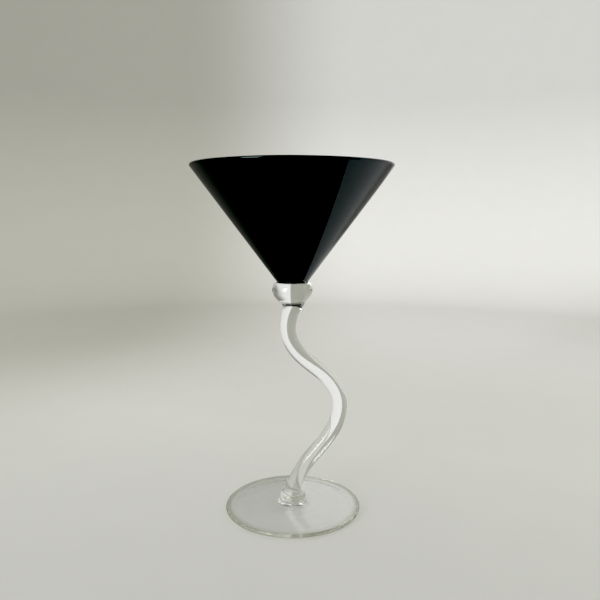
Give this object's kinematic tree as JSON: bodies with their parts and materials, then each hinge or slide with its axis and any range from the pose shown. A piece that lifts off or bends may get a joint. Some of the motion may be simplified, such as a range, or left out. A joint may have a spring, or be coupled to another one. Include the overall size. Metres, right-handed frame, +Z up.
{
  "type": "martini glass",
  "caption": "Stemmed cocktail glass: wide black cone bowl on a clear squat knop, a clear rod stem bent into an S, a clear button and a flat round clear foot.",
  "frame": {"origin": "centre of the circle that the foot stands on, at table level, on the bowl's own axis", "axes": "+Z up through the bowl; +X the way the stem's bend swings; the bend lies in the XZ plane"},
  "size_m": [0.12, 0.12, 0.212],
  "materials": {
    "black_glass": "polished, opaque, fire-rounded lip",
    "clear_glass": "polished, clear, faint olive tint where it is thick"
  },
  "bodies": {
    "root": {"bowl": "black_glass", "knop": "clear_glass", "stem": "clear_glass", "foot_button": "clear_glass", "foot": "clear_glass"}
  },
  "joints": []
}
